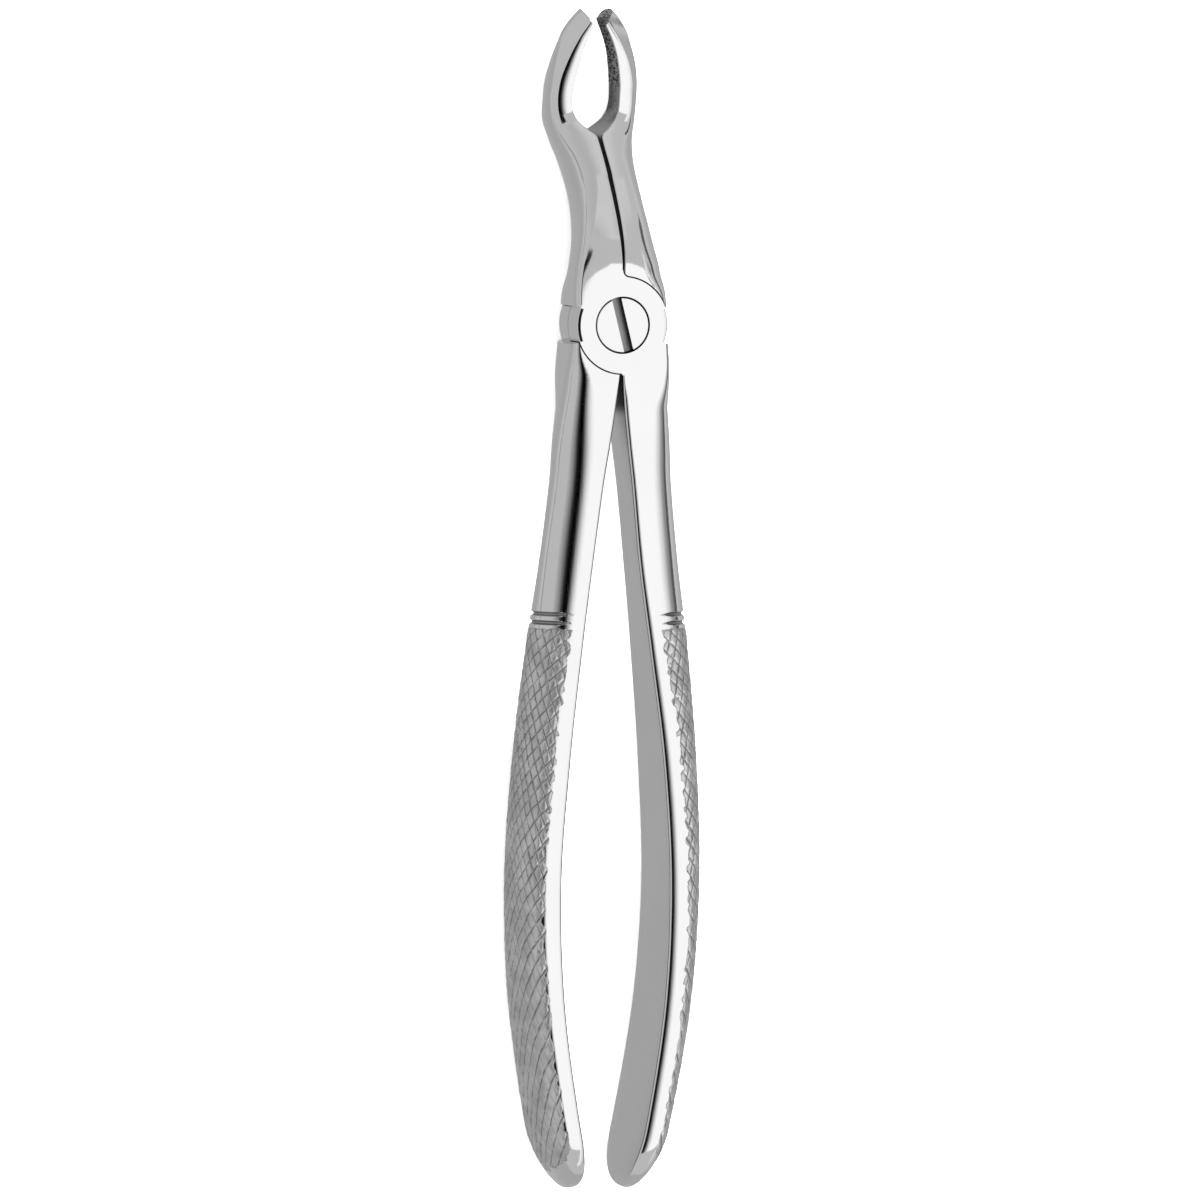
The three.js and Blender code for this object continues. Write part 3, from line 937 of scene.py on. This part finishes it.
def steel(name, colour, spread, roughness, roughness_spread, scratch, grain, bump, painted_shade=None):
    """Stainless steel: fine scratches along the piece, soft tone and gloss changes, fine bump.

    The last argument is (start, end, share) of painted shade: the tone falls to share of itself
    between two places along Y.
    """
    material, tree, shader = nodes_of(name)
    shader.inputs["Metallic"].default_value = 1
    place = node(tree, "TexCoord")
    stretch = node(tree, "Mapping", Scale=scratch)
    link(tree, place, "Object", stretch, "Vector")
    lines = node(tree, "TexNoise", Scale=grain, Detail=6)
    link(tree, stretch, "Vector", lines, "Vector")
    clouds = noise(tree, place, CLOUDS_PER_METRE, 3)
    tone = node(tree, "MapRange", To_Min=colour - spread, To_Max=colour + spread)
    set_to(tree, clouds, tone, "Value")
    colouring = (tone, "Result")
    # Painted shade: the tone falls towards the joint, where the handles' inner faces face each
    # other
    if painted_shade:
        along = split_up(tree, place, "Object"), "Y"
        painted_shade_factor = between(tree, along, painted_shade[0] * MM, painted_shade[1] * MM, 1, painted_shade[2])
        colouring = maths(tree, "MULTIPLY", colouring, painted_shade_factor)
    set_to(tree, colouring, shader, "Base Color")
    gloss = node(tree, "MapRange", To_Min=roughness - roughness_spread,
                 To_Max=roughness + roughness_spread)
    link(tree, lines, "Fac", gloss, "Value")
    link(tree, gloss, "Result", shader, "Roughness")
    bumped(tree, shader, (lines, "Fac"), (bump, SCRATCH_DEPTH))
    return material


def cells(tree, place, scale, randomness):
    """Distance to the middle of the nearest of many cells, with a scale per metre."""
    made = node(tree, "TexVoronoi", Scale=scale, Randomness=randomness)
    link(tree, place, "Object", made, "Vector")
    return made, "Distance"


def knurl_set(tree, line, shift):
    """1 on the whole numbers of a line coordinate, where a groove runs, and 0 away from them."""
    away = maths(tree, "PINGPONG", maths(tree, "ADD", line, shift), 0.5)
    return between(tree, away, *LINE_EDGE, 1, 0)


def knurled_steel(name):
    """Polished steel with grey worn knurling: grooves on whole line numbers darkened as painted
    shade, small pits.
    """
    material, tree, shader = nodes_of(name)
    shader.inputs["Metallic"].default_value = 1
    place = node(tree, "TexCoord")
    parts = []
    for layer in KNURL_LAYERS:
        source = node(tree, "UVMap")
        source.uv_map = layer
        parts.append(split_up(tree, source, "UV"))
    lines, area = parts
    rough = noise(tree, place, KNURL_GRAIN_PER_METRE, 4)
    coarse = noise(tree, place, KNURL_PATCHES_PER_METRE, 3)
    ragged = maths(tree, "MULTIPLY_ADD", rough, 2 * RAGGED_PAINT, -RAGGED_PAINT)
    edge = maths(tree, "ADD", (area, "X"), ragged)
    inside = between(tree, edge, 0, 0.1, 0, 1)
    shift = maths(tree, "MULTIPLY_ADD", coarse, 2 * LINE_WANDER, -LINE_WANDER)
    first, second = [knurl_set(tree, (lines, axis), shift) for axis in "XY"]
    unworn = maths(tree, "MULTIPLY_ADD", (area, "Y"), -WORN_SHARE, 1)
    grooves = maths(tree, "MAXIMUM", first, maths(tree, "MULTIPLY", second, unworn))
    grooves = maths(tree, "MULTIPLY", grooves, between(tree, rough, 0.3, 0.6, FAINT_LINE, 1))
    pits = between(tree, cells(tree, place, KNURL_PITS_PER_METRE, 1), *KNURL_PIT_EDGE, 1, 0)
    near_edge = between(tree, (area, "X"), *KNURL_PIT_ZONE, 1, INNER_PITS)
    patches = between(tree, coarse, 0.45, 0.6, 0, 1)
    pits = maths(tree, "MULTIPLY", pits, maths(tree, "MULTIPLY", near_edge, patches))
    dark_rim = between(tree, edge, *DARK_RIM, 0)
    marks = maths(tree, "MAXIMUM", maths(tree, "MAXIMUM", grooves, pits), dark_rim)
    marks = maths(tree, "MULTIPLY", marks, inside)
    plain = between(tree, coarse, *NOISE_RANGE, *KNURL_TONES)
    # The grooves' dark tone is painted shade; the pits and the outline's rim take it too
    tone = mixed(tree, marks, plain, SHADE_AND_MARK_TONE)
    set_to(tree, mixed(tree, inside, POLISHED_TONE, tone), shader, "Base Color")
    dulled = between(tree, rough, *NOISE_RANGE, *KNURL_ROUGHNESS)
    set_to(tree, mixed(tree, inside, POLISHED_ROUGHNESS, dulled), shader, "Roughness")
    grit = maths(tree, "MULTIPLY", rough, maths(tree, "MULTIPLY", inside, KNURL_GRIT_SHARE))
    bumped(tree, shader, maths(tree, "SUBTRACT", grit, marks), KNURL_BUMP)
    return material


def pitted_steel(name):
    """Satin steel darkened as painted shade, whose grip, near the beak's tip, is covered with small
    dark pits.
    """
    material, tree, shader = nodes_of(name)
    shader.inputs["Metallic"].default_value = 1
    place = node(tree, "TexCoord")
    along = split_up(tree, place, "Object"), "Y"
    grip = between(tree, along, PITS_START * MM, PITS_FULL * MM, 0, 1)
    pits = between(tree, cells(tree, place, PITS_PER_METRE, PIT_SCATTER), *PIT_EDGE, 1, 0)
    pits = maths(tree, "MULTIPLY", pits, grip)
    fine = noise(tree, place, INNER_GRAIN_PER_METRE, 4)
    # The inner faces' low tone is painted shade between the halves
    plain = between(tree, fine, *NOISE_RANGE, *INNER_SHADE_TONES)
    raised = mixed(tree, grip, plain, GRIP_TONE)
    set_to(tree, mixed(tree, pits, raised, PIT_TONE), shader, "Base Color")
    set_to(tree, between(tree, fine, *NOISE_RANGE, *INNER_ROUGHNESS), shader, "Roughness")
    grit = maths(tree, "MULTIPLY", fine, INNER_GRIT_SHARE)
    bumped(tree, shader, maths(tree, "SUBTRACT", grit, pits), PIT_BUMP)
    return material


def steels():
    """Materials of the halves. Tone, its spread, roughness, its spread, stretch, grain, bump."""
    return [
        steel("polished_steel", POLISHED_TONE, 0.015, POLISHED_ROUGHNESS, 0.03, (1, 0.06, 1),
              4000, 0.15),
        # Satin steel with painted shade near the joint on the handles' inner faces
        steel("satin_steel", 0.56, 0.025, 0.3, 0.06, (1, 0.05, 1), 5000, 0.5, PAINTED_SHADE_NEAR_JOINT),
        knurled_steel("knurled_steel"),
        pitted_steel("pitted_steel"),
        # Painted shade: near-black steel in the joint's gaps and bores
        steel("seam_shade_steel", 0.1, 0.01, 0.4, 0.08, (1, 1, 1), 2500, 0.5),
        # Painted shade: darker steel deep in the turned grooves
        steel("groove_shade_steel", 0.26, 0.03, 0.3, 0.06, (1, 0.3, 1), 3000, 0.5),
    ]


def screw_steels():
    """Materials of the screw: its surface, the walls of its slot, near black as painted shade, and
    the slot's floor.
    """
    return [
        steel("screw_steel", POLISHED_TONE, 0.015, 0.11, 0.03, (1, 0.2, 1), 5000, 0.2),
        # Painted shade: near-black walls of the screw's slot
        steel("slot_wall_shade_steel", 0.05, 0.01, 0.4, 0.08, (1, 1, 1), 2500, 0.5),
        steel("slot_floor_steel", 0.26, 0.07, 0.42, 0.1, (1, 0.25, 1), 1500, 1.0),
    ]


SHARP_ANGLE = math.radians(35)


def piece(mesh, name, node, body):
    """Puts a mesh in the scene in place of its CAD node, riding its body."""
    mesh.shade_smooth()
    mesh.set_sharp_from_angle(angle=SHARP_ANGLE)
    made = bpy.data.objects.new(name, mesh)
    bpy.context.collection.objects.link(made)
    weighted = made.modifiers.new("weighted", "WEIGHTED_NORMAL")
    weighted.keep_sharp = True
    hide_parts(node)
    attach(made, body)
    return made


def card(name, corners, strength):
    """A flat studio card that only reflections see."""
    mesh = bpy.data.meshes.new(name)
    mesh.from_pydata(corners, [], [(0, 1, 2, 3)])
    material = bpy.data.materials.new(name)
    material.use_nodes = True
    tree = material.node_tree
    tree.nodes.clear()
    glow = node(tree, "Emission", Strength=strength)
    link(tree, glow, "Emission", node(tree, "OutputMaterial"), "Surface")
    mesh.materials.append(material)
    made = bpy.data.objects.new(name, mesh)
    bpy.context.collection.objects.link(made)
    made.visible_camera = False
    made.visible_shadow = False
    made.visible_diffuse = False
    return made


def level_card(name, x_low, x_high, y_low, y_high, height, strength):
    """A card that lies level at a height."""
    corners = [(x_low, y_low, height), (x_low, y_high, height),
               (x_high, y_high, height), (x_high, y_low, height)]
    return card(name, corners, strength)


def shaded(made, stops):
    """Gives a card a glow that follows (X in metres, strength) stops."""
    tree = made.data.materials[0].node_tree
    low, high = stops[0][0], stops[-1][0]
    peak = max(strength for _, strength in stops)
    parts = split_up(tree, node(tree, "TexCoord"), "Object")
    share = node(tree, "MapRange", From_Min=low, From_Max=high)
    link(tree, parts, "X", share, "Value")
    ramp = node(tree, "FloatCurve")
    curve = ramp.mapping.curves[0]
    for k, (x, strength) in enumerate(stops):
        at = ((x - low) / (high - low), strength / peak)
        point = curve.points[k] if k < 2 else curve.points.new(*at)
        point.location = at
        point.handle_type = "VECTOR"
    ramp.mapping.update()
    link(tree, share, "Result", ramp, "Value")
    strength = maths(tree, "MULTIPLY", (ramp, "Value"), peak)
    link(tree, strength[0], "Value", tree.nodes["Emission"], "Strength")


# Studio, in metres
CARD_HEIGHT = 1.5
SURROUND = 0.78
SOFTBOX_GLOW = 1.55
# Reach of the softbox along X, and of all overhead cards along Y, over their height
SOFTBOX = (0.09, 1.19)
OVERHEAD_Y = (-0.75, 0.19)
# Glow of the ceiling against X over height: a dark band beside the camera, then the far right
SHADE = [(-1.04, 0.72), (-0.96, 0.68), (-0.68, 0.37), (-0.48, 0.03), (-0.38, 0.0), (-0.27, 0.0),
         (-0.21, 0.12), (-0.15, 0.43), (-0.012, 1.28), (0.09, 1.55)]
FAR_RIGHT = [(1.19, 1.55), (1.6, 1.18), (2.14, 0.85), (2.9, 0.47), (5.67, 0.3)]
FAR_RIGHT_Y = (-4, 1.2)
# Glow of the table against X, dimmer in the middle as painted shade under the forceps, and how far
# it lies over the table in millimetres
TABLE_GLOW = [(-0.3, 0.85), (-0.1, 0.8), (-0.03, 0.6), (0.03, 0.6), (0.1, 0.8), (0.3, 0.85)]
TABLE_GLOW_LIFT = 0.05
# Dim walls facing the forceps: name, X, lowest and highest Z, glow
DARK_WALLS = [("right_wall", 8.6, -0.1, 1.5, 0.15), ("left_wall", -4, -0.1, 0.25, 0.45)]
WALL_HALF = 6
SHADE_FAR_Y = 0.7
# Glow of the wall behind the beaks against X
BACK_WALL = [(-3, 0.78), (-0.6, 0.7), (0.2, 0.72), (1.3, 0.95), (2.1, 0.8), (3, 0.78)]
BACK_HALF = 3
BACK_Y = 4
BACK_HEIGHT = 4
LAMP_POWER = 210
LAMP_SIZE = 2.5
LAMP_HEIGHT = 2.2


def glow_card(name, stops, y_low, y_high, height):
    """A level card with a glow that follows (X over height, strength) stops."""
    made = level_card(name, stops[0][0] * height, stops[-1][0] * height, y_low, y_high, height, 1)
    shaded(made, [(x * height, strength) for x, strength in stops])
    return made


def studio():
    """Cards for the steel to reflect, the light that falls on the table, and the surround."""
    height = CARD_HEIGHT
    low, high = OVERHEAD_Y[0] * height, OVERHEAD_Y[1] * height
    level_card("softbox", SOFTBOX[0] * height, SOFTBOX[1] * height, low, high, height, SOFTBOX_GLOW)
    glow_card("camera_shade", SHADE, low, high, height)
    glow_card("camera_shade_far", SHADE[:7], high, SHADE_FAR_Y * height, height)
    back = card("back_wall", [(-BACK_HALF, BACK_Y, 0), (-BACK_HALF, BACK_Y, BACK_HEIGHT),
                              (BACK_HALF, BACK_Y, BACK_HEIGHT), (BACK_HALF, BACK_Y, 0)], 1)
    shaded(back, BACK_WALL)
    glow_card("far_right", FAR_RIGHT, FAR_RIGHT_Y[0], FAR_RIGHT_Y[1], height)
    for name, x, z_low, z_high, strength in DARK_WALLS:
        corners = [(x, -WALL_HALF, z_low), (x, WALL_HALF, z_low),
                   (x, WALL_HALF, z_high), (x, -WALL_HALF, z_high)]
        card(name, corners, strength)
    # The table's glow, seen only in reflections, is dimmer under the forceps: painted shade
    glow = level_card("table_glow", -FLOOR_HALF, FLOOR_HALF, -FLOOR_HALF, FLOOR_HALF, 0, 1)
    shaded(glow, TABLE_GLOW)
    tilt_to_table(glow, TABLE_GLOW_LIFT * MM)
    world = bpy.data.worlds.new("surround")
    world.use_nodes = True
    background = world.node_tree.nodes["Background"]
    background.inputs["Color"].default_value = (1, 1, 1, 1)
    background.inputs["Strength"].default_value = SURROUND
    bpy.context.scene.world = world
    lamp = bpy.data.lights.new("table_light", "AREA")
    lamp.shape = "RECTANGLE"
    lamp.size = LAMP_SIZE
    lamp.size_y = LAMP_SIZE
    lamp.energy = LAMP_POWER
    made = bpy.data.objects.new("table_light", lamp)
    made.location = (0, 0, LAMP_HEIGHT)
    made.visible_glossy = False
    bpy.context.collection.objects.link(made)


FLOOR_HALF = 2.0
# Where the forceps rests on the table, as Y and Z in millimetres
BEAK_REST = (27, -17.5)
HANDLE_REST = (-127, -8.3)


def table_height(y):
    """Height of the table top at y, both in metres."""
    slope = (HANDLE_REST[1] - BEAK_REST[1]) / (HANDLE_REST[0] - BEAK_REST[0])
    return (BEAK_REST[1] + JOINT_PLANE) * MM + slope * (y - BEAK_REST[0] * MM)


def tilt_to_table(made, lift):
    """Lays a level card on the table, lift metres over it."""
    for vertex in made.data.vertices:
        vertex.co.z = table_height(vertex.co.y) + lift


def table():
    """The table top that the beaks' backs and the handles' ends rest on."""
    corners = [(x, y, table_height(y)) for x, y in
               [(-FLOOR_HALF, -FLOOR_HALF), (FLOOR_HALF, -FLOOR_HALF),
                (FLOOR_HALF, FLOOR_HALF), (-FLOOR_HALF, FLOOR_HALF)]]
    mesh = bpy.data.meshes.new("table")
    mesh.from_pydata(corners, [], [(0, 1, 2, 3)])
    material, _, shader = nodes_of("table_white")
    shader.inputs["Base Color"].default_value = (0.9, 0.9, 0.9, 1)
    shader.inputs["Roughness"].default_value = 0.9
    shader.inputs["Specular IOR Level"].default_value = 0.1
    mesh.materials.append(material)
    made = bpy.data.objects.new("table", mesh)
    bpy.context.collection.objects.link(made)
    made.visible_glossy = False


CAMERA_DISTANCE = 3.0
CAMERA_ROLL = math.radians(1.18)
SENSOR_WIDTH = 36
CLIP_END = 20
# Width of the view and its centre from the pivot, in the picture's plane and in millimetres
VIEW_WIDTH = 181.0
VIEW_CENTRE = (-1.15, -41.7)


def camera():
    """The photo's view: turned to the left side, tipped a little, and rolled a little."""
    turn_c, turn_s = math.cos(VIEW_TURN), math.sin(VIEW_TURN)
    tilt_c, tilt_s = math.cos(VIEW_TILT), math.sin(VIEW_TILT)
    across = Vector((turn_c, 0, turn_s))
    upwards = Vector((tilt_s * turn_s, tilt_c, -tilt_s * turn_c))
    towards = across.cross(upwards)
    roll_c, roll_s = math.cos(CAMERA_ROLL), math.sin(CAMERA_ROLL)
    right = across * roll_c + upwards * roll_s
    up = upwards * roll_c - across * roll_s
    pivot = Vector((0, 0, JOINT_PLANE * MM))
    target = pivot + (across * VIEW_CENTRE[0] + upwards * VIEW_CENTRE[1]) * MM
    data = bpy.data.cameras.new("camera")
    data.sensor_width = SENSOR_WIDTH
    data.lens = SENSOR_WIDTH * CAMERA_DISTANCE / (VIEW_WIDTH * MM)
    data.clip_end = CLIP_END
    made = bpy.data.objects.new("camera", data)
    rotation = Matrix((right, up, towards)).transposed().to_4x4()
    made.matrix_world = Matrix.Translation(target + towards * CAMERA_DISTANCE) @ rotation
    bpy.context.collection.objects.link(made)
    bpy.context.scene.camera = made


def forceps():
    """The three visible pieces."""
    finishes = steels()
    front = half_mesh(1, "front_forging", finishes)
    back = half_mesh(-1, "back_forging", finishes)
    piece(front, "front_forging", "front_half", "front")
    piece(back, "back_forging", "back_half", "back")
    piece(screw_mesh(screw_steels()), "slotted_screw", "pivot_screw", "back")


forceps()
studio()
table()
camera()

bpy.context.scene.view_settings.view_transform = "Standard"
